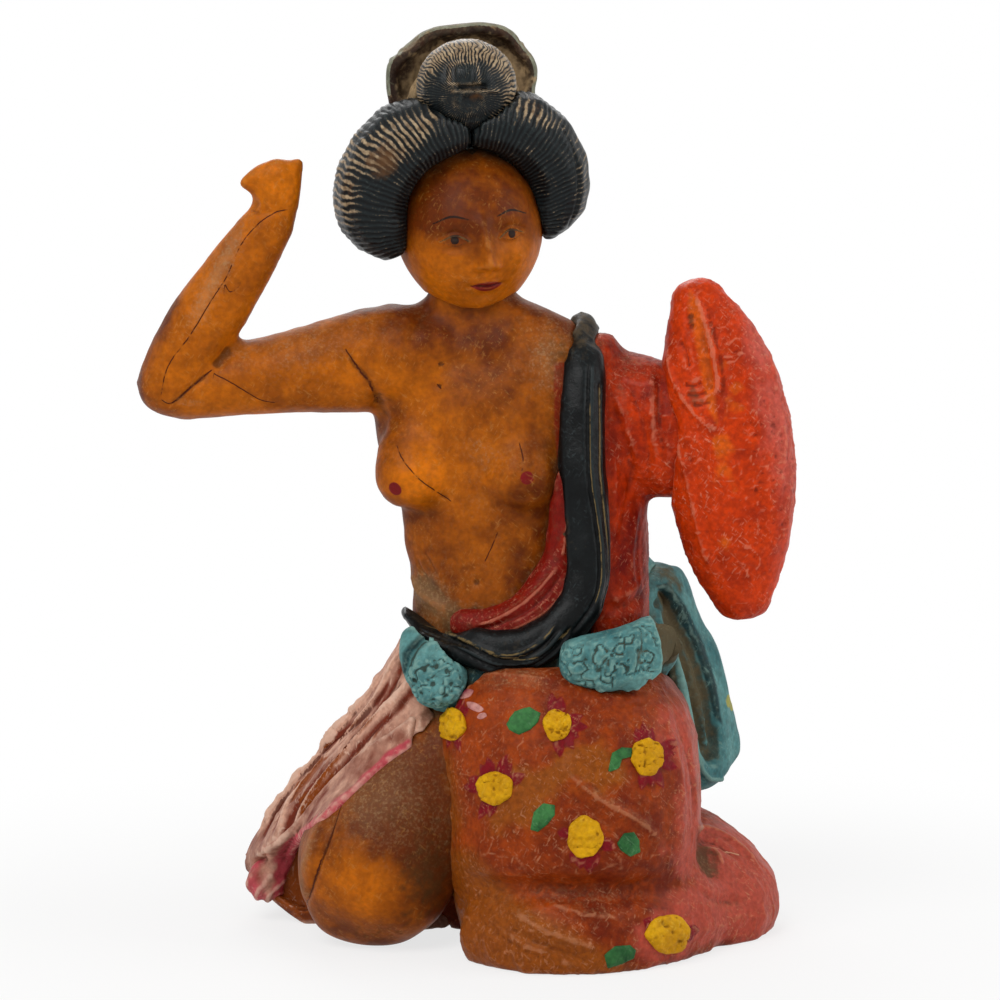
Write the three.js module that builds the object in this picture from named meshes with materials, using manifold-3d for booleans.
// A kneeling woman in a slipped robe: a small hand-painted figurine of amber casting resin.
// Millimetres. +Z is up and Z = 0 is the table. The figure faces -Y, so its right arm is on the -X side.
// Every casting is a solid of its own. A later casting is cut back from the earlier ones that it
// lies against, with one glue seam between them, and the castings locate on each other by pegs.
import * as THREE from "three";
import { mergeVertices } from "three/addons/utils/BufferGeometryUtils.js";
import Module from "manifold-3d";

const wasm = await Module();
wasm.setup();

// Fits
const GLUE_SEAM = 0.3;
const PEG_RADIUS = 1.1;
const PEG_DEPTH = 3.2;
const SMALL_PEG_RADIUS = 0.6;
const SMALL_PEG_DEPTH = 1.8;
const largePeg = [PEG_RADIUS, PEG_DEPTH];
const smallPeg = [SMALL_PEG_RADIUS, SMALL_PEG_DEPTH];

// Heights: the skirt above the table, then each landmark above the one below it
const SKIRT_HEIGHT = 23.4;
const WAIST_RISE = 6.4;
const BUST_RISE = 10;
const SHOULDER_RISE = 9.6;
const NECK_RISE = 5.4;
const HEAD_RISE = 5.2;
const KNEE_HEIGHT = 6.3;

// Sizes of the bare body
const WAIST_HALF_WIDTH = 6.3;
const CHEST_HALF_WIDTH = 9.1;
const NECK_RADIUS = 2.9;
const SHOULDER_RADIUS = 4.5;
const UPPER_ARM_RADIUS = 3.1;
const FOREARM_RADIUS = 2.9;
const WRIST_RADIUS = 1.75;
const UPPER_ARM_LENGTH = 18.0;
const FOREARM_LENGTH = 17;
const THIGH_RADIUS = 6.6;
const KNEE_RADIUS = 6.4;
const SHIN_RADIUS = 4.2;
const FACE_HALF_WIDTH = 6.0;
const FACE_HALF_DEPTH = 6.2;
const FACE_HALF_HEIGHT = 7.2;

// Sizes of the hair
const WING_THICKNESS = 2.9;
const WING_DEPTH = 4.0;
const WING_SPREAD = 8.0;
const FRONT_KNOT_RADIUS = 4.1;
const FAN_HALF_WIDTH = 6.6;
const FAN_HEIGHT = 8.6;
const FAN_WALL = 0.7;
const NAPE_ROLL_RADIUS = 4.6;

// Sizes of the clothes
const COLLAR_HALF_WIDTH = 1.9;
const COLLAR_HALF_DEPTH = 1.7;
const UNDER_ROBE_RADIUS = 1.5;
const SASH_WIDTH = 5.8;
const BODICE_HALF_WIDTH = 8.0;
const SLEEVE_HALF_HEIGHT = 5.9;
const HANGING_HALF_WIDTH = 5.2;
const HANGING_HALF_DEPTH = 3.5;
const HANGING_DROP = 26.4;
const BOW_HALF_WIDTH = 2.9;
const BOW_HALF_DEPTH = 5.6;
const BOW_RECESS_DEPTH = 3.3;
const LAP_REACH = 11.8;
const SEAT_REACH = 10.2;
const HEM_FOLD_RADIUS = 4.0;
const SEAT_PLEAT_DEPTH = 0.8;
const PANEL_PLEAT_DEPTH = 0.7;

// Turns, in degrees
const CHEST_TURN = -14;
const HEAD_TURN = 12;
const HEAD_TILT = -6;
const HEAD_NOD = 3;
const UPPER_ARM_SLOPE = -8;
const FOREARM_SLOPE = 60;

const V = (x, y, z) => new THREE.Vector3(x, y, z);
const rad = THREE.MathUtils.degToRad;
const FRONT = V(0, -1, 0);
const REACH = 200; // longer than anything that a cutting wall has to clear

// The heights of the landmarks above the table
const waistZ = SKIRT_HEIGHT + WAIST_RISE;
const bustZ = waistZ + BUST_RISE;
const shoulderZ = bustZ + SHOULDER_RISE;
const neckZ = shoulderZ + NECK_RISE;
const headZ = neckZ + HEAD_RISE;

// Landmarks of the arms, the head and the waist
const chestAt = V(-2.4, 0.3, shoulderZ);
const rightShoulder = V(-10.4, 0, shoulderZ);
const upperArmWay = V(-Math.cos(rad(UPPER_ARM_SLOPE)), -0.08, Math.sin(rad(UPPER_ARM_SLOPE)));
const rightElbow = rightShoulder.clone().addScaledVector(upperArmWay, UPPER_ARM_LENGTH);
const forearmWay = V(Math.cos(rad(FOREARM_SLOPE)), -0.14, Math.sin(rad(FOREARM_SLOPE)));
const rightWrist = rightElbow.clone().addScaledVector(forearmWay, FOREARM_LENGTH);
const leftShoulder = V(6.6, 0.6, shoulderZ - 5);
const leftElbow = V(13.2, -0.6, shoulderZ - 6.2);
const headAt = V(-3.55, -0.4, headZ);
const waistAt = V(-1.9, 0.3, waistZ);
const trainAt = V(13.4, 4.2, 4.4);

// A closed solid from a geometry
function solid(geometry) {
  const bare = geometry.clone();
  bare.deleteAttribute("normal");
  bare.deleteAttribute("uv");
  const merged = mergeVertices(bare, 1e-4);
  return new wasm.Manifold(
    new wasm.Mesh({
      numProp: 3,
      vertProperties: merged.attributes.position.array,
      triVerts: new Uint32Array(merged.index.array),
    }),
  );
}

// A skin through rings of points, closed by a fan to a tip at each end
function skin(rings, firstTip, lastTip) {
  const sides = rings[0].length;
  const points = [...rings.flat(), firstTip, lastTip];
  const index = [];
  for (let r = 0; r < rings.length - 1; r++) {
    for (let s = 0; s < sides; s++) {
      const a = r * sides + s;
      const b = r * sides + ((s + 1) % sides);
      index.push(a, b, a + sides, b, b + sides, a + sides);
    }
  }
  const first = points.length - 2;
  const last = points.length - 1;
  const start = (rings.length - 1) * sides;
  for (let s = 0; s < sides; s++) {
    index.push(first, (s + 1) % sides, s);
    index.push(last, start + s, start + ((s + 1) % sides));
  }
  const geometry = new THREE.BufferGeometry().setFromPoints(points);
  geometry.setIndex(index);
  const made = solid(geometry);
  if (made.volume() > 0) return made;
  for (let i = 0; i < index.length; i += 3) [index[i], index[i + 1]] = [index[i + 1], index[i]];
  geometry.setIndex(index);
  return solid(geometry);
}

// One ring of an oval, drawn in from the corners or squared up by its power
function oval(centre, across, towards, wide, near, far, sides, power = 1) {
  return Array.from({ length: sides }, (_, s) => {
    const angle = (2 * Math.PI * s) / sides;
    const c = Math.sign(Math.cos(angle)) * Math.abs(Math.cos(angle)) ** power;
    const d = Math.sign(Math.sin(angle)) * Math.abs(Math.sin(angle)) ** power;
    return centre
      .clone()
      .addScaledVector(across, c * wide)
      .addScaledVector(towards, d * (d > 0 ? near : far));
  });
}

// A limb along a smooth path. Each station gives its half-width across the front view and its
// half-depth from front to back, and the ends are domes as long as their share of the half-width.
function limb(stations, { sides = 16, rings = 12, domes = [1, 1], front = FRONT, power = 1, grow = 0 } = {}) {
  const spine = new THREE.CatmullRomCurve3(stations.map((s) => s.at));
  const girth = new THREE.CatmullRomCurve3(stations.map((s) => V(s.wide, s.deep ?? s.wide, 0)));
  const ringAt = (t, shrink, along) => {
    const tangent = spine.getTangent(t);
    const towards = front.clone().addScaledVector(tangent, -front.dot(tangent)).normalize();
    const across = V(0, 0, 0).crossVectors(tangent, towards);
    const size = girth.getPoint(t);
    const centre = spine.getPoint(t).addScaledVector(tangent, along);
    const deep = (size.y + grow) * shrink;
    return oval(centre, across, towards, (size.x + grow) * shrink, deep, deep, sides, power);
  };
  const made = [];
  const tips = [];
  const steps = [0.45, 0.84];
  for (const [t, way, share] of [[0, -1, domes[0]], [1, 1, domes[1]]]) {
    const length = (girth.getPoint(t).x + grow) * share;
    const dome = share > 0
      ? steps.map((h) => ringAt(t, Math.sqrt(1 - h * h), way * h * length))
      : [];
    tips.push(spine.getPoint(t).addScaledVector(spine.getTangent(t), way * Math.max(length, grow)));
    made.push(dome);
  }
  const middle = Array.from({ length: rings + 1 }, (_, r) => ringAt(r / rings, 1, 0));
  return skin([...made[0].reverse(), ...middle, ...made[1]], tips[0], tips[1]);
}

// How deep the pleats of a cloth are, one after another, as shares of its deepest
const PLEAT_SHARES = [1, 0.7, 0.9, 0.55, 0.85];

// Level ovals stacked up from the first level to the last. Each has its own half-width, and its
// half-depths to the front and to the back. Pleats are a ridge on every second side, and run out
// towards the top.
function stack(
  levels,
  { sides = 20, rings = 10, turn = 0, power = 1, grow = 0, feet = 0, pleats = 0, place = (p) => p } = {},
) {
  const spine = new THREE.CatmullRomCurve3(levels.map((l) => V(l.x, l.y, l.z)));
  const girth = new THREE.CatmullRomCurve3(levels.map((l) => V(l.wide, l.front, l.back)));
  const yaw = rad(turn);
  const across = V(Math.cos(yaw), Math.sin(yaw), 0);
  const towards = V(Math.sin(yaw), -Math.cos(yaw), 0);
  const made = Array.from({ length: rings + 1 }, (_, r) => {
    const size = girth.getPoint(r / rings);
    const centre = spine.getPoint(r / rings);
    const depth = 0.5 * pleats * (1 - r / rings) ** 0.6;
    return oval(centre, across, towards, size.x + grow, size.y + grow, size.z + grow, sides, power).map((p, s) => {
      const share = PLEAT_SHARES[Math.floor(s / 2) % PLEAT_SHARES.length];
      return p.addScaledVector(p.clone().sub(centre).normalize(), (s % 2 ? depth : -depth) * share);
    });
  });
  const low = spine.getPoint(0);
  const high = spine.getPoint(1);
  if (grow > 0) {
    made.unshift(made[0].map((p) => p.clone().setZ(p.z - grow - feet)));
    made.push(made.at(-1).map((p) => p.clone().setZ(p.z + grow)));
    low.z -= grow + feet;
    high.z += grow;
  }
  return skin(made.map((ring) => ring.map(place)), place(low), place(high));
}

// A ball drawn out to three radii, then turned
function blob(at, radii, { turn = new THREE.Quaternion(), grow = 0, sides = 14, rings = 9 } = {}) {
  const ball = new THREE.SphereGeometry(1, sides, rings).rotateX(Math.PI / 2);
  ball.scale(...radii.map((r) => r + grow)).applyQuaternion(turn);
  return solid(ball.translate(at.x, at.y, at.z));
}

// A round peg from one point towards another
function peg(from, to, radius, grow = 0) {
  const way = to.clone().sub(from);
  const rod = new THREE.CylinderGeometry(radius + grow, radius + grow, way.length() + 2 * grow, 10);
  rod.applyQuaternion(new THREE.Quaternion().setFromUnitVectors(V(0, 1, 0), way.clone().normalize()));
  const middle = from.clone().lerp(to, 0.5);
  return solid(rod.translate(middle.x, middle.y, middle.z));
}

// Everything beyond a plane, on the side that its normal points to
function beyond(point, normal) {
  const way = normal.clone().normalize();
  const block = new THREE.BoxGeometry(REACH, REACH, REACH);
  block.applyQuaternion(new THREE.Quaternion().setFromUnitVectors(V(0, 0, 1), way));
  const middle = point.clone().addScaledVector(way, REACH / 2);
  return solid(block.translate(middle.x, middle.y, middle.z));
}

const underTable = beyond(V(0, 0, 0), V(0, 0, -1));
const fuse = (first, ...rest) => rest.reduce((whole, next) => whole.add(next), first);
const cut = (first, ...rest) => rest.reduce((left, next) => left.subtract(next), first);
const largest = (body) =>
  body.decompose().reduce((best, next) => (next.volume() > best.volume() ? next : best));

// The head's own frame: origin at its centre, tilted, turned and nodding as the figure holds it
const headTurn = new THREE.Quaternion().setFromEuler(
  new THREE.Euler(
    rad(HEAD_NOD),
    rad(HEAD_TILT),
    rad(HEAD_TURN),
    "ZYX",
  ),
);
const headFront = FRONT.clone().applyQuaternion(headTurn);
const onHead = (x, y, z) => V(x, y, z).applyQuaternion(headTurn).add(headAt);

// The bare trunk with its neck. The waist runs down into the skirt as a tenon, and the neck up
// into the head.
const WAIST_TENON = 8;
const NECK_TENON = 4.2;
const trunkLevels = [
  { z: waistZ - WAIST_TENON, x: -1.2, y: 0.6, wide: WAIST_HALF_WIDTH + 0.5, front: 5.0, back: 5.2 },
  { z: waistZ - 4, x: -1.7, y: 0.5, wide: WAIST_HALF_WIDTH + 0.3, front: 5.4, back: 5.2 },
  { z: waistZ, x: waistAt.x, y: waistAt.y, wide: WAIST_HALF_WIDTH, front: 5.3, back: 4.7 },
  { z: waistZ + 4, x: -1.8, y: 0.2, wide: WAIST_HALF_WIDTH - 0.1, front: 5.0, back: 4.9 },
  { z: bustZ - 1.5, x: -2.1, y: 0.2, wide: CHEST_HALF_WIDTH - 1.4, front: 4.9, back: 5.6 },
  { z: bustZ + 3, x: -2.4, y: 0.3, wide: CHEST_HALF_WIDTH + 0.1, front: 5.1, back: 5.9 },
  { z: shoulderZ - 3.3, x: chestAt.x, y: chestAt.y, wide: CHEST_HALF_WIDTH + 0.3, front: 4.7, back: 5.4 },
  { z: shoulderZ + 0.4, x: chestAt.x, y: 0.4, wide: CHEST_HALF_WIDTH - 0.1, front: 4.0, back: 4.4 },
  { z: shoulderZ + 2.9, x: -2.3, y: 0.4, wide: CHEST_HALF_WIDTH - 1.5, front: 3.2, back: 3.5 },
  { z: shoulderZ + 4.3, x: -2.9, y: 0.2, wide: NECK_RADIUS + 2.3, front: 2.9, back: 3.1 },
  { z: neckZ, x: -3.4, y: 0, wide: NECK_RADIUS + 0.2, front: NECK_RADIUS - 0.1, back: NECK_RADIUS },
  { z: headZ - 2.6, x: -3.5, y: 0, wide: NECK_RADIUS, front: NECK_RADIUS - 0.2, back: NECK_RADIUS },
  { z: headZ - 2.6 + NECK_TENON, x: -3.6, y: 0.2, wide: NECK_RADIUS - 0.7, front: 2, back: 2.2 },
];

function trunk(grow = 0) {
  const yaw = rad(CHEST_TURN);
  const onChest = (across, out, z) =>
    V(
      chestAt.x + across * Math.cos(yaw) + out * Math.sin(yaw),
      chestAt.y + across * Math.sin(yaw) - out * Math.cos(yaw),
      z,
    );
  const breast = (across, out) =>
    limb(
      [
        { at: onChest(across, out - 2.5, bustZ + 4.4), wide: 2.9, deep: 2.6 },
        { at: onChest(across * 1.02, out - 1.3, bustZ + 1.8), wide: 3.2, deep: 2.9 },
        { at: onChest(across, out, bustZ - 0.3), wide: 3.2, deep: 2.9 },
      ],
      { sides: 12, rings: 3, domes: [0.6, 0.8], grow },
    );
  const shoulder = limb(
    [
      { at: V(chestAt.x, 0.6, shoulderZ - 0.4), wide: SHOULDER_RADIUS - 1.6, deep: 2.6 },
      { at: V(chestAt.x - 4, 0.4, shoulderZ + 0.2), wide: SHOULDER_RADIUS - 0.5, deep: 3.6 },
      { at: rightShoulder.clone().add(V(0.6, 0, 0)), wide: SHOULDER_RADIUS - 0.1, deep: 3.6 },
    ],
    { sides: 12, rings: 3, domes: [0.3, 0.5], grow },
  );
  const body = stack(trunkLevels, { sides: 18, rings: 15, turn: CHEST_TURN, power: 0.92, grow });
  return fuse(body, breast(-4.9, 4.0), breast(4.0, 3.4), shoulder);
}

// The raised right arm, in three castings: shoulder to elbow, elbow to wrist, and the broken hand
function upperArm(grow = 0) {
  const along = (share) => rightShoulder.clone().lerp(rightElbow, share);
  return limb(
    [
      { at: along(-0.14), wide: SHOULDER_RADIUS - 0.1, deep: 3.4 },
      { at: rightShoulder, wide: SHOULDER_RADIUS, deep: 3.6 },
      { at: along(0.25), wide: UPPER_ARM_RADIUS + 0.75, deep: 3.3 },
      { at: along(0.55), wide: UPPER_ARM_RADIUS, deep: UPPER_ARM_RADIUS },
      { at: along(0.85), wide: UPPER_ARM_RADIUS - 0.35, deep: UPPER_ARM_RADIUS - 0.3 },
      { at: rightElbow, wide: UPPER_ARM_RADIUS - 0.6, deep: UPPER_ARM_RADIUS - 0.6 },
    ],
    { sides: 12, rings: 7, domes: [0.4, 0.9], grow },
  );
}

function forearm(grow = 0) {
  const along = (share, left) => rightElbow.clone().lerp(rightWrist, share).add(V(-left, 0, 0));
  const whole = limb(
    [
      { at: along(0, 0.3).add(V(0, 0, 0.3)), wide: FOREARM_RADIUS - 0.2, deep: FOREARM_RADIUS },
      { at: along(0.33, 0.7), wide: FOREARM_RADIUS, deep: FOREARM_RADIUS - 0.1 },
      { at: along(0.68, 0.2), wide: FOREARM_RADIUS - 0.35, deep: FOREARM_RADIUS - 0.6 },
      { at: along(1, -0.2), wide: WRIST_RADIUS + 0.1, deep: WRIST_RADIUS - 0.2 },
      { at: along(1.12, -0.2), wide: WRIST_RADIUS + 0.1, deep: WRIST_RADIUS - 0.2 },
    ],
    { sides: 12, rings: 7, domes: [0.9, 0], grow },
  );
  return cut(whole, beyond(rightWrist.clone().addScaledVector(forearmWay, grow), forearmWay));
}

function hand(grow = 0) {
  const palm = limb(
    [
      { at: rightWrist.clone().addScaledVector(forearmWay, -0.8), wide: WRIST_RADIUS, deep: WRIST_RADIUS - 0.2 },
      { at: rightWrist.clone().add(V(0.4, -0.1, 1.1)), wide: WRIST_RADIUS, deep: WRIST_RADIUS - 0.35 },
      { at: rightWrist.clone().add(V(0.1, -0.2, 2.9)), wide: WRIST_RADIUS + 0.6, deep: WRIST_RADIUS - 0.5 },
      { at: rightWrist.clone().add(V(0.0, -0.3, 5.4)), wide: WRIST_RADIUS + 0.75, deep: WRIST_RADIUS - 0.6 },
    ],
    { sides: 12, rings: 4, domes: [0, 0], grow },
  );
  const tip = rightWrist.clone().add(V(-1.2, 0, 3.6 + grow));
  return cut(palm, beyond(tip, V(-0.5, -0.1, 0.85)), beyond(tip.clone().add(V(2, 0, 0.55)), V(0.1, 0.1, 1)));
}

// The face. Each feature rises from the skull by a soft mound at its place across and up.
const faceFeatures = [
  { across: 0, up: -0.6, width: 0.75, height: 2.1, rise: 0.75 }, // bridge of the nose
  { across: 0, up: -2.0, width: 0.95, height: 0.85, rise: 0.9 }, // tip of the nose
  { across: 0, up: -3.7, width: 1.5, height: 0.7, rise: 0.45 }, // lips
  { across: 0, up: -5.6, width: 1.6, height: 1.0, rise: 0.55 }, // chin
  { across: 2.3, up: 0.3, width: 1.4, height: 0.9, rise: -0.45 }, // eye socket
  { across: 2.9, up: -2.2, width: 1.7, height: 1.6, rise: 0.35 }, // cheek
  { across: 2.2, up: 1.9, width: 2.0, height: 0.7, rise: 0.3 }, // brow
];

function head(grow = 0) {
  const ball = new THREE.SphereGeometry(1, 24, 18).rotateX(Math.PI / 2);
  const place = ball.attributes.position;
  for (let i = 0; i < place.count; i++) {
    const low = Math.max(0, -place.getZ(i));
    const x = place.getX(i) * FACE_HALF_WIDTH * (1 - 0.3 * low ** 2);
    const back = place.getY(i) > 0 ? 1 - 0.25 * low : 1 - 0.12 * low ** 2;
    let y = place.getY(i) * FACE_HALF_DEPTH * back;
    const z = place.getZ(i) * FACE_HALF_HEIGHT;
    if (place.getY(i) < 0) {
      for (const f of faceFeatures) {
        for (const side of f.across ? [-1, 1] : [1]) {
          const reach = ((x - side * f.across) / f.width) ** 2 + ((z - f.up) / f.height) ** 2;
          y -= f.rise * Math.exp(-reach) * -place.getY(i);
        }
      }
    }
    const out = V(x, y, z).normalize();
    place.setXYZ(i, ...onHead(x + out.x * grow, y + out.y * grow, z + out.z * grow).toArray());
  }
  return solid(ball);
}

// The dressed hair: a cap over the skull, a wing at each side of the face, a knot over the
// forehead, a hollow fan behind it, and a roll at the nape
function hairCap(grow = 0) {
  const cap = blob(onHead(0, 1.2, 2.2), [6.6, 6.9, 7.4], { turn: headTurn, grow, sides: 16, rings: 10 });
  return cut(cap, beyond(onHead(0, -2.4 - grow, 0), headFront));
}

function hairWing(side, grow = 0) {
  const spread = side < 0 ? WING_SPREAD : WING_SPREAD - 0.6;
  const thick = side < 0 ? WING_THICKNESS : WING_THICKNESS - 0.2;
  return limb(
    [
      { at: onHead(side * 1.0, -2.8, 9.3), wide: thick - 0.7, deep: WING_DEPTH - 1.2 },
      { at: onHead(side * (spread - 2.9), -2.2, 8.5), wide: thick + 0.2, deep: WING_DEPTH - 0.4 },
      { at: onHead(side * (spread - 0.1), -0.8, 5.1), wide: thick + 0.1, deep: WING_DEPTH },
      { at: onHead(side * spread, 0.2, 2.1), wide: thick - 0.1, deep: WING_DEPTH },
      { at: onHead(side * (spread - 1.3), 0.8, 0.1), wide: thick - 1.0, deep: WING_DEPTH - 0.8 },
    ],
    { sides: 12, rings: 8, domes: [0.6, 0.5], front: headFront, power: 0.9, grow },
  );
}

function frontKnot(grow = 0) {
  const radii = [FRONT_KNOT_RADIUS, FRONT_KNOT_RADIUS - 0.6, FRONT_KNOT_RADIUS - 0.4];
  return blob(onHead(0.3, -2.9, 12.3), radii, { turn: headTurn, grow });
}

function hairFan(grow = 0) {
  const base = 8.3;
  const bowl = (wall, deep, rear) =>
    [
      [0, 0.95, 0.86], [0.32, 0.97, 0.95], [0.6, 0.99, 1], [0.8, 0.9, 0.86], [0.94, 0.62, 0.6], [1, 0.3, 0.3],
    ].map(([up, wide, far]) => ({
      z: base + up * (FAN_HEIGHT - wall),
      x: 1.1,
      y: 2,
      wide: wide * (FAN_HALF_WIDTH - wall),
      front: deep,
      back: far * rear,
    }));
  const place = (p) => onHead(p.x, p.y, p.z);
  const outer = stack(bowl(0, 1, 4.2), { sides: 16, rings: 6, place, power: 0.9, grow });
  const hollow = stack(bowl(FAN_WALL, 3, 1.5).slice(1), { sides: 14, rings: 6, place, power: 0.9 });
  const core = blob(onHead(0.6, 0.2, 10.4), [4.9, 3.4, 4.2], { turn: headTurn, grow });
  return fuse(cut(outer, hollow), core);
}

const napeRoll = (grow = 0) =>
  blob(onHead(0, 6.5, -1.0), [NAPE_ROLL_RADIUS, 3.9, 3.8], { turn: headTurn, grow });

// The bare right leg: thigh to knee, and the shin folded under it
const knee = V(-12.1, -3.0, KNEE_HEIGHT);

function rightLeg(grow = 0) {
  const thigh = limb(
    [
      { at: V(-3.2, 0.8, waistZ - 12.6), wide: THIGH_RADIUS },
      { at: V(-7.6, -1.2, (waistZ - 12.6 + KNEE_HEIGHT) / 2), wide: THIGH_RADIUS },
      { at: knee, wide: KNEE_RADIUS },
    ],
    { sides: 16, rings: 5, domes: [0.3, 0.8], power: 0.94, grow },
  );
  const shin = limb(
    [
      { at: knee.clone().add(V(0.8, 0.4, -1.6)), wide: SHIN_RADIUS + 1.2 },
      { at: V(-12.6, 4.4, SHIN_RADIUS + 0.4), wide: SHIN_RADIUS + 0.3 },
      { at: V(-8.6, 10.6, SHIN_RADIUS - 0.4), wide: SHIN_RADIUS - 0.4 },
      { at: V(-5, 14.6, SHIN_RADIUS - 1), wide: SHIN_RADIUS - 1.2 },
    ],
    { sides: 10, rings: 5, domes: [0.8, 0.7], front: V(0, 0, 1), grow },
  );
  const table = grow > 0 ? [] : [underTable];
  return cut(fuse(thigh, shin), ...table);
}

// The robe below the waist: the front over the raised left knee, the train beside it, the side
// panel that falls back from the bare thigh, and the seat behind
const skirtFront = (grow = 0) =>
  stack(
    [
      { z: 0, x: 5.0, y: -2.6, wide: 9.0, front: LAP_REACH - 4.4, back: 8 },
      { z: 3.6, x: 5.0, y: -2.6, wide: 9.6, front: LAP_REACH - 3.6, back: 8 },
      { z: 6.6, x: 5.0, y: -2.6, wide: 10.5, front: LAP_REACH - 1.2, back: 8 },
      { z: 10, x: 4.9, y: -2.6, wide: 10.9, front: LAP_REACH, back: 8 },
      { z: 14.5, x: 4.7, y: -2.5, wide: 11.0, front: LAP_REACH - 0.4, back: 8 },
      { z: SKIRT_HEIGHT - 4.6, x: 4.4, y: -2.2, wide: 10.8, front: LAP_REACH - 1.2, back: 8 },
      { z: SKIRT_HEIGHT - 1.6, x: 4.1, y: -1.8, wide: 9.8, front: LAP_REACH - 2.2, back: 7 },
      { z: SKIRT_HEIGHT + 0.8, x: 3.6, y: -1.4, wide: 7.6, front: LAP_REACH - 4.0, back: 6 },
    ],
    { sides: 20, rings: 10, power: 0.88, grow, feet: 1 },
  );

const skirtBack = (grow = 0) =>
  stack(
    [
      { z: 0, x: 1.5, y: 10, wide: 14.0, front: 8, back: SEAT_REACH },
      { z: 4, x: 1.5, y: 10, wide: 14.2, front: 8, back: SEAT_REACH - 0.2 },
      { z: 10, x: 1.8, y: 9, wide: 13.0, front: 8, back: SEAT_REACH - 1.2 },
      { z: 16, x: 2.0, y: 7.4, wide: 11.4, front: 8, back: SEAT_REACH - 2.2 },
      { z: SKIRT_HEIGHT - 2, x: 1.8, y: 5.4, wide: 9.8, front: 8, back: 6.8 },
      { z: SKIRT_HEIGHT + 1, x: 1.5, y: 4, wide: 8.4, front: 7, back: 5.4 },
    ],
    { sides: 30, rings: 7, power: 0.92, grow, feet: 1, pleats: SEAT_PLEAT_DEPTH },
  );

function skirtTrain(grow = 0) {
  const heap = stack(
    [
      { z: 0, x: trainAt.x, y: trainAt.y, wide: 8.8, front: 9.2, back: 8.6 },
      { z: 2.6, x: trainAt.x + 0.1, y: trainAt.y, wide: 9.6, front: 9.6, back: 9 },
      { z: 5.8, x: trainAt.x - 0.5, y: trainAt.y, wide: 9.0, front: 8.6, back: 8.2 },
      { z: 8.8, x: trainAt.x - 2.3, y: trainAt.y, wide: 7.6, front: 6.6, back: 6.8 },
      { z: 10.6, x: trainAt.x - 3.8, y: trainAt.y, wide: 5.4, front: 4.4, back: 4.8 },
    ],
    { sides: 16, rings: 5, turn: 32, grow, feet: 1 },
  );
  const lower = LAP_REACH - 11.8;
  const fold = limb(
    [
      { at: V(-1.4, -8.6 - lower, 2.2), wide: HEM_FOLD_RADIUS - 1.0, deep: 3.8 },
      { at: V(2.8, -11.2 - lower, 2.4), wide: HEM_FOLD_RADIUS - 0.1, deep: 4.5 },
      { at: V(8.0, -10.4 - lower, 2.6), wide: HEM_FOLD_RADIUS, deep: 4.8 },
      { at: V(12.8, -5.6, 3.0), wide: HEM_FOLD_RADIUS, deep: 5.4 },
      { at: V(16.2, 1.4, 3.2), wide: HEM_FOLD_RADIUS + 0.2, deep: 5.4 },
    ],
    { sides: 14, rings: 9, domes: [0.9, 0.6], front: V(0, 0, 1), grow },
  );
  const table = grow > 0 ? [] : [underTable];
  return cut(fuse(heap, fold), ...table);
}

function sidePanel(grow = 0) {
  const drape = stack(
    [
      { z: 0, x: -12.6, y: 9.5, wide: 8.9, front: 8.8, back: 8.0 },
      { z: 4.5, x: -12.9, y: 9, wide: 10.2, front: 9.6, back: 8.4 },
      { z: 10, x: -10.8, y: 7.4, wide: 9.3, front: 10.6, back: 8 },
      { z: 15, x: -8.9, y: 5.8, wide: 7.1, front: 10.8, back: 7.4 },
      { z: 20, x: -6.9, y: 4.2, wide: 5.4, front: 9.8, back: 6.8 },
      { z: SKIRT_HEIGHT + 2.4, x: -5.6, y: 2.4, wide: 3.4, front: 6.6, back: 6 },
    ],
    { sides: 26, rings: 8, power: 0.95, grow, feet: 1, pleats: PANEL_PLEAT_DEPTH },
  );
  const hemTop = V(-8.9, -6, SKIRT_HEIGHT - 7.0);
  const hemWay = V(-12.6, 11, -10.4).normalize();
  const opening = beyond(hemTop, V(0, 0, 0).crossVectors(hemWay, V(0.35, 1, -0.3)).normalize());
  const foot = beyond(V(0, 0, 1.2), V(0, 0, -1));
  const rear = beyond(V(0, 6.5, 0), V(0, 1, 0));
  return cut(drape, cut(opening, foot, rear));
}

// The robe above the waist: the bodice that covers the left flank and the lower back
function bodice(grow = 0) {
  const wrap = stack(
    [
      { z: SKIRT_HEIGHT - 1, x: 3.4, y: 1.2, wide: BODICE_HALF_WIDTH + 0.4, front: 6.2, back: 6.4 },
      { z: waistZ, x: 3.4, y: 1, wide: BODICE_HALF_WIDTH, front: 6.0, back: 5.9 },
      { z: bustZ - 3, x: 3.4, y: 0.8, wide: BODICE_HALF_WIDTH, front: 5.9, back: 6.3 },
      { z: bustZ + 3, x: 3.0, y: 0.8, wide: BODICE_HALF_WIDTH - 0.4, front: 5.4, back: 6.7 },
      { z: shoulderZ - 1.6, x: 2.6, y: 0.8, wide: BODICE_HALF_WIDTH - 0.6, front: 5.0, back: 5.6 },
      { z: shoulderZ + 1.8, x: 2.8, y: 0.7, wide: BODICE_HALF_WIDTH - 2.2, front: 3.6, back: 4.0 },
    ],
    { sides: 18, rings: 7, power: 0.92, grow },
  );
  const bareFront = cut(beyond(V(6.6, 0, 0), V(-1, 0, 0)), beyond(V(0, 1.5, 0), V(0, 1, 0)));
  const bareBack = beyond(V(5.2, 0, shoulderZ + 2), V(-0.78, 0, 0.6));
  return cut(wrap, bareFront, bareBack);
}

// The black collar, in its front and its back run, and the red under-robe beside it
const collarTop = V(5.8, 0.6, shoulderZ + 2.3);
const collarHip = V(-7.7, -1.6, waistZ + 0.2);

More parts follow.
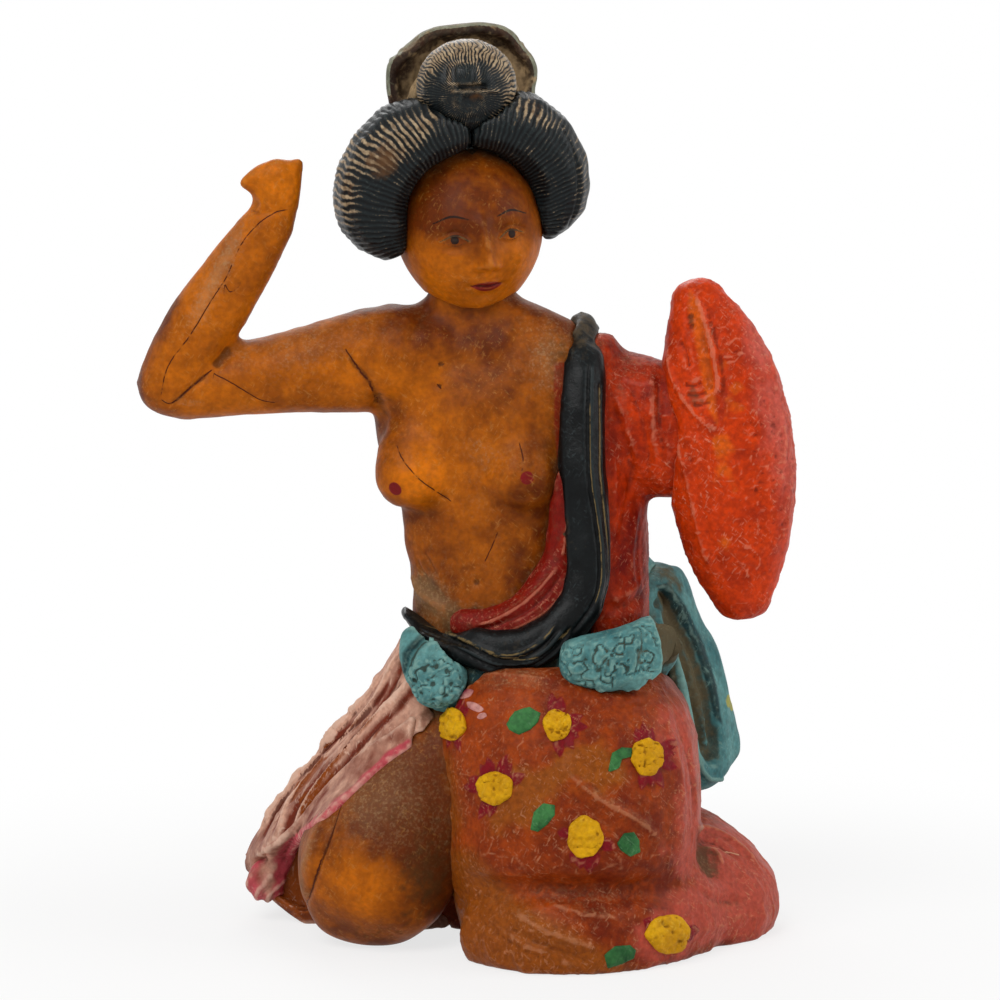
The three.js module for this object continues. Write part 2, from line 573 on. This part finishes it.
const collarFront = (grow = 0) =>
  limb(
    [
      { at: collarTop, wide: COLLAR_HALF_WIDTH - 0.7, deep: COLLAR_HALF_DEPTH },
      { at: V(6.0, -2.6, shoulderZ + 0.6), wide: COLLAR_HALF_WIDTH - 0.1, deep: COLLAR_HALF_DEPTH },
      { at: V(5.7, -4.3, shoulderZ - 4), wide: COLLAR_HALF_WIDTH, deep: COLLAR_HALF_DEPTH },
      { at: V(5.8, -5.4, bustZ), wide: COLLAR_HALF_WIDTH, deep: COLLAR_HALF_DEPTH },
      { at: V(6.3, -5.8, waistZ + 3.4), wide: COLLAR_HALF_WIDTH, deep: COLLAR_HALF_DEPTH },
      { at: V(5.6, -6.3, waistZ - 0.4), wide: COLLAR_HALF_WIDTH, deep: COLLAR_HALF_DEPTH },
      { at: V(2.8, -7.0, waistZ - 3.3), wide: COLLAR_HALF_WIDTH, deep: COLLAR_HALF_DEPTH },
      { at: V(-1.0, -7.0, waistZ - 4.3), wide: COLLAR_HALF_WIDTH, deep: COLLAR_HALF_DEPTH },
      { at: V(-4.6, -5.9, waistZ - 3.3), wide: COLLAR_HALF_WIDTH, deep: COLLAR_HALF_DEPTH },
      { at: V(-7.0, -4.0, waistZ - 1.4), wide: COLLAR_HALF_WIDTH, deep: COLLAR_HALF_DEPTH },
      { at: collarHip, wide: COLLAR_HALF_WIDTH - 0.4, deep: COLLAR_HALF_DEPTH },
    ],
    { sides: 8, rings: 14, domes: [0.5, 0.5], power: 0.8, grow },
  );

const collarBack = (grow = 0) =>
  limb(
    [
      { at: collarTop.clone().add(V(0.2, 1.4, -0.4)), wide: COLLAR_HALF_DEPTH, deep: COLLAR_HALF_WIDTH - 0.5 },
      { at: V(4.4, 5.0, shoulderZ - 1.2), wide: COLLAR_HALF_DEPTH, deep: COLLAR_HALF_WIDTH },
      { at: V(1.6, 6.2, shoulderZ - 5.5), wide: COLLAR_HALF_DEPTH, deep: COLLAR_HALF_WIDTH },
      { at: V(-2.2, 6.0, bustZ - 1.4), wide: COLLAR_HALF_DEPTH, deep: COLLAR_HALF_WIDTH },
      { at: V(-6.0, 4.4, waistZ + 4.0), wide: COLLAR_HALF_DEPTH, deep: COLLAR_HALF_WIDTH },
      { at: V(-7.7, 1.4, waistZ + 1.6), wide: COLLAR_HALF_DEPTH - 0.3, deep: COLLAR_HALF_WIDTH - 0.3 },
    ],
    { sides: 8, rings: 9, domes: [0.5, 0.5], front: V(-0.6, 0.1, 0.8), power: 0.8, grow },
  );

const underRobe = (grow = 0) =>
  limb(
    [
      { at: V(4.0, -4.6, bustZ), wide: UNDER_ROBE_RADIUS - 0.6 },
      { at: V(4.2, -4.8, waistZ + 4), wide: UNDER_ROBE_RADIUS - 0.2 },
      { at: V(3.0, -5.0, waistZ + 0.6), wide: UNDER_ROBE_RADIUS + 0.4 },
      { at: V(0.2, -5.4, waistZ - 1.9), wide: UNDER_ROBE_RADIUS + 0.3 },
      { at: V(-4.0, -4.8, waistZ - 2.2), wide: UNDER_ROBE_RADIUS - 0.2 },
    ],
    { sides: 8, rings: 7, domes: [0.8, 0.8], grow },
  );

// The sash: the band round the hips, its short end over the right hip, and the drum bow behind
function sashBand(grow = 0) {
  const band = stack(
    [
      { z: SKIRT_HEIGHT - 3, x: 2.4, y: 0.4, wide: 10.9, front: 8.6, back: 9.8 },
      { z: SKIRT_HEIGHT - 3 + SASH_WIDTH / 2, x: 2.2, y: 0.6, wide: 10.6, front: 8.2, back: 9.4 },
      { z: SKIRT_HEIGHT - 3 + SASH_WIDTH, x: 2.0, y: 1, wide: 9.9, front: 7.3, back: 8.4 },
    ],
    { sides: 18, rings: 3, power: 0.92, turn: 4, grow },
  );
  const flap = limb(
    [
      { at: V(5.0, -9.2, SKIRT_HEIGHT + 1.8), wide: 0.3 * SASH_WIDTH, deep: 1.5 },
      { at: V(8.9, -9.6, SKIRT_HEIGHT + 1.9), wide: 0.44 * SASH_WIDTH, deep: 1.7 },
      { at: V(12.3, -7.2, SKIRT_HEIGHT + 2.8), wide: 0.42 * SASH_WIDTH, deep: 1.7 },
      { at: V(12.6, -3.2, SKIRT_HEIGHT + 2.4), wide: 0.4 * SASH_WIDTH, deep: 1.7 },
      { at: V(11.2, 0.6, SKIRT_HEIGHT + 0.8), wide: 0.4 * SASH_WIDTH, deep: 1.7 },
    ],
    { sides: 12, rings: 7, domes: [0.5, 0.5], power: 0.85, grow },
  );
  return fuse(band, flap);
}

const sashEnd = (grow = 0) =>
  limb(
    [
      { at: V(-7.2, -4.6, waistZ - 3.0), wide: 2.1, deep: 1.6 },
      { at: V(-6.6, -6.0, waistZ - 4.8), wide: 2.7, deep: 1.7 },
      { at: V(-5.9, -6.9, waistZ - 7.2), wide: 2.3, deep: 1.5 },
    ],
    { sides: 10, rings: 3, domes: [0.3, 0.7], power: 0.85, grow },
  );

function sashBow(grow = 0) {
  const face = V(-0.5, -1, 0).normalize();
  const hang = [
    V(12.1, 9.4, waistZ - 1.5),
    V(13.6, 10.2, waistZ - 6.9),
    V(15.5, 10.9, waistZ - 12),
    V(17.0, 11.3, waistZ - 16.5),
  ];
  const shell = limb(
    [
      { at: hang[0], wide: BOW_HALF_WIDTH - 0.6, deep: BOW_HALF_DEPTH - 1.2 },
      { at: hang[1], wide: BOW_HALF_WIDTH, deep: BOW_HALF_DEPTH },
      { at: hang[2], wide: BOW_HALF_WIDTH, deep: BOW_HALF_DEPTH },
      { at: hang[3], wide: BOW_HALF_WIDTH - 0.7, deep: BOW_HALF_DEPTH - 0.4 },
    ],
    { sides: 14, rings: 6, domes: [0.9, 0.9], front: face, power: 0.8, grow },
  );
  if (grow > 0) return shell;
  const recess = limb(
    hang.map((p, i) => ({
      at: p.clone().addScaledVector(face, BOW_HALF_DEPTH + 0.4).add(V(0, 0, i === 0 ? -1.6 : 0)),
      wide: BOW_HALF_WIDTH - (i % 3 === 0 ? 1.5 : 0.9),
      deep: BOW_RECESS_DEPTH,
    })),
    { sides: 10, rings: 5, domes: [0.8, 0.8], front: face },
  );
  return cut(shell, recess);
}

const bowKnot = (grow = 0) =>
  limb(
    [
      { at: V(11.4, 9.8, waistZ - 1.6), wide: 3.6, deep: 2.8 },
      { at: V(4.4, 11.4, waistZ - 2.2), wide: 3.6, deep: 3.2 },
      { at: V(-2.0, 10.0, waistZ - 2.8), wide: 2.8, deep: 2.8 },
    ],
    { sides: 10, rings: 4, domes: [0.5, 0.7], front: V(0, 1, 0), power: 0.85, grow },
  );

// The left sleeve: over the upper arm, then hanging from the raised forearm inside it
const upperSleeve = (grow = 0) =>
  limb(
    [
      { at: leftShoulder.clone().add(V(-1.6, 0.5, 1.4)), wide: SLEEVE_HALF_HEIGHT - 0.8, deep: 4.0 },
      { at: leftShoulder.clone().add(V(1.6, 0.4, 0)), wide: SLEEVE_HALF_HEIGHT - 0.2, deep: 4.2 },
      { at: leftElbow, wide: SLEEVE_HALF_HEIGHT - 0.3, deep: 3.8 },
      { at: leftElbow.clone().add(V(2.6, -0.4, -0.3)), wide: SLEEVE_HALF_HEIGHT - 1.2, deep: 3.1 },
    ],
    { sides: 14, rings: 4, domes: [0.4, 0.3], power: 0.92, grow },
  );

function hangingSleeve(grow = 0) {
  const top = leftElbow.clone().add(V(2.8, -1.6, 11.2));
  const drop = (share, x, y) => top.clone().add(V(x, y, -share * HANGING_DROP));
  const wide = HANGING_HALF_WIDTH;
  const deep = HANGING_HALF_DEPTH;
  return limb(
    [
      { at: drop(0, -0.6, 0), wide: 0.42 * wide, deep: 0.6 * deep },
      { at: drop(0.1, 0.2, -0.2), wide: 0.7 * wide, deep: 0.8 * deep },
      { at: drop(0.25, 1.2, -0.4), wide: 0.93 * wide, deep: 0.95 * deep },
      { at: drop(0.47, 2.2, -0.6), wide: 1.02 * wide, deep },
      { at: drop(0.65, 2.5, -0.4), wide: 0.96 * wide, deep },
      { at: drop(0.83, 2.9, 0), wide: 0.76 * wide, deep: 0.86 * deep },
      { at: drop(0.96, 3.4, 0.2), wide: 0.42 * wide, deep: 0.6 * deep },
    ],
    { sides: 14, rings: 9, domes: [0.75, 0.6], power: 0.92, grow },
  );
}

// Colours and finishes of the painted resin
const finish = (color, roughness) => new THREE.MeshStandardMaterial({ color, roughness, metalness: 0 });
const paints = {
  amber: () => finish(0xb5651d, 0.38),
  black: () => finish(0x1d2326, 0.5),
  brown: () => finish(0x3a2a20, 0.6),
  red: () => finish(0xb8301c, 0.42),
  russet: () => finish(0x9a4320, 0.45),
  rose: () => finish(0xa8503c, 0.48),
  teal: () => finish(0x4f9a98, 0.6),
};

// Each casting is cut back from those made before it
const castings = new Map();

function cast(name, paint, shape) {
  let body = shape();
  for (const made of castings.values()) body = body.subtract(made.grown);
  castings.set(name, { body: largest(body), grown: shape(GLUE_SEAM), paint });
}

// A locating peg on one casting, and its socket in each casting that it enters
function locate(pegOn, at, way, [radius, depth]) {
  const ends = [-1, 1].map((s) => at.clone().addScaledVector(way.clone().normalize(), s * depth));
  const socket = peg(...ends, radius, GLUE_SEAM);
  for (const [name, casting] of castings) {
    casting.body = name === pegOn
      ? casting.body.add(peg(...ends, radius))
      : casting.body.subtract(socket);
  }
}

cast("torso", "amber", trunk);
cast("right_forearm", "amber", forearm);
cast("right_upper_arm", "amber", upperArm);
cast("right_hand", "amber", hand);
cast("head", "amber", head);
cast("hair_front_knot", "black", frontKnot);
cast("hair_wing_right", "black", (grow) => hairWing(-1, grow));
cast("hair_wing_left", "black", (grow) => hairWing(1, grow));
cast("hair_cap", "black", hairCap);
cast("hair_fan", "brown", hairFan);
cast("hair_nape_roll", "black", napeRoll);
cast("right_leg", "amber", rightLeg);
cast("sash_band", "teal", sashBand);
cast("skirt_front", "russet", skirtFront);
cast("skirt_train", "red", skirtTrain);
cast("robe_side_panel", "rose", sidePanel);
cast("skirt_back", "russet", skirtBack);
cast("robe_bodice", "red", bodice);
cast("under_robe", "rose", underRobe);
cast("collar_front", "black", collarFront);
cast("collar_back", "black", collarBack);
cast("sleeve_upper", "red", upperSleeve);
cast("sleeve_hanging", "red", hangingSleeve);
cast("sash_end", "teal", sashEnd);
cast("sash_bow", "teal", sashBow);
cast("sash_bow_knot", "teal", bowKnot);

// The pegs sit at the middle of each joint and point along it
const upright = V(0, 0, 1);
const across = V(1, 0, 0);
const backwards = V(0, 1, 0);
const headUp = onHead(0, 0, 1).sub(headAt);
locate("right_upper_arm", rightShoulder.clone().add(V(0.8, 0, 0)), upperArmWay, largePeg);
locate("right_upper_arm", rightElbow.clone().lerp(rightShoulder, 0.1), upperArmWay, smallPeg);
locate("right_hand", rightWrist, forearmWay, smallPeg);
locate("hair_front_knot", onHead(0.4, -0.6, 12), headFront, smallPeg);
locate("hair_fan", onHead(0.6, 1.2, 9.2), headUp, smallPeg);
locate("hair_nape_roll", onHead(0, 7.6, -0.6), headFront, smallPeg);
locate("sleeve_hanging", leftElbow.clone().add(V(1.4, 0, 0)), across, largePeg);
locate("skirt_train", trainAt.clone().add(V(0, -3.6, 0)), across, largePeg);
locate("skirt_back", V(2.4, 4.6, 8), backwards, largePeg);
locate("sash_bow_knot", V(5, 9.8, waistZ - 4.8), upright, smallPeg);

// The finished figure: one mesh for each casting, placed at the middle of its own box
const figure = new THREE.Group();
for (const [name, { body, paint }] of castings) {
  const { vertProperties, triVerts } = body.getMesh();
  const geometry = new THREE.BufferGeometry();
  geometry.setAttribute("position", new THREE.BufferAttribute(vertProperties, 3));
  geometry.setIndex(new THREE.BufferAttribute(triVerts, 1));
  geometry.computeBoundingBox();
  const middle = geometry.boundingBox.getCenter(V(0, 0, 0));
  geometry.translate(-middle.x, -middle.y, -middle.z);
  geometry.computeVertexNormals();
  const mesh = new THREE.Mesh(geometry, paints[paint]());
  mesh.name = name;
  mesh.position.copy(middle);
  figure.add(mesh);
}

export default figure;
